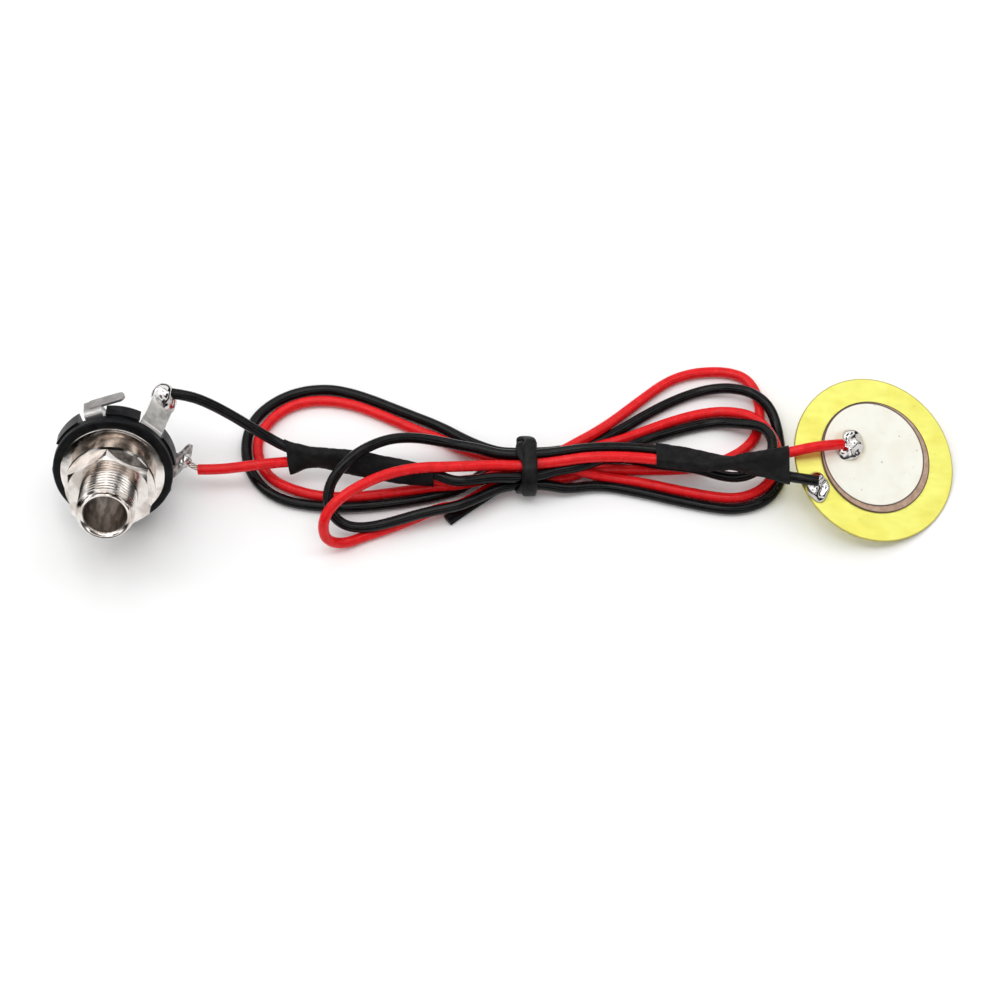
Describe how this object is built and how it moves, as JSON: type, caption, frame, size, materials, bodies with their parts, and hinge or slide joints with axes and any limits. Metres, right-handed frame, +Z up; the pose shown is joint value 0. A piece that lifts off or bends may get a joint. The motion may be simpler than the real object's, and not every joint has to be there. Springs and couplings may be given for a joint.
{
  "type": "piezo pickup",
  "caption": "Prewired contact pickup: a brass piezo disc on two thin leads, wound in a tied hank, ending at a quarter-inch panel jack with hex nut and washer.",
  "frame": {"origin": "on the surface that the pickup lies on, under the middle of the box round the jack and the disc", "axes": "+X from the jack to the disc, +Y away from the side that the jack's mouth faces, +Z up"},
  "size_m": [0.1416, 0.0387, 0.0202],
  "materials": {
    "nickel": "bright nickel plate on brass",
    "contact_metal": "plated spring brass, satin",
    "black_insulator": "moulded, satin",
    "brown_insulator": "laminated board",
    "solder": "bright, wetted",
    "tinned_copper": "twisted tinned strands",
    "red_insulation": "extruded, soft sheen",
    "black_insulation": "extruded, soft sheen",
    "wound_leads": "red and black leads side by side",
    "heat_shrink": "shrunk, slightly wrinkled",
    "tie_plastic": "flat strip, satin",
    "disc_brass": "rolled sheet, lightly brushed",
    "piezo": "fired, matt",
    "silvering": "fired silver, matt"
  },
  "bodies": {
    "root": {"jack_bushing": "nickel", "panel_nut": "nickel", "panel_washer": "nickel", "back_washer": "nickel", "ground_terminal": "contact_metal", "ring_terminal": "contact_metal", "tip_terminal": "contact_metal", "jack_collar": "black_insulator", "jack_housing": "black_insulator", "contact_wafer": "brown_insulator", "back_wafer": "brown_insulator", "ground_solder": "solder", "tip_solder": "solder", "electrode_solder": "solder", "rim_solder": "solder", "tip_strands": "tinned_copper", "red_jack_lead": "red_insulation", "red_disc_lead": "red_insulation", "black_jack_lead": "black_insulation", "black_disc_lead": "black_insulation", "lead_hank": "wound_leads", "jack_sleeve": "heat_shrink", "disc_sleeve": "heat_shrink", "wire_tie": "tie_plastic", "brass_disc": "disc_brass", "piezo_ceramic": "piezo", "silver_electrode": "silvering"}
  },
  "joints": []
}
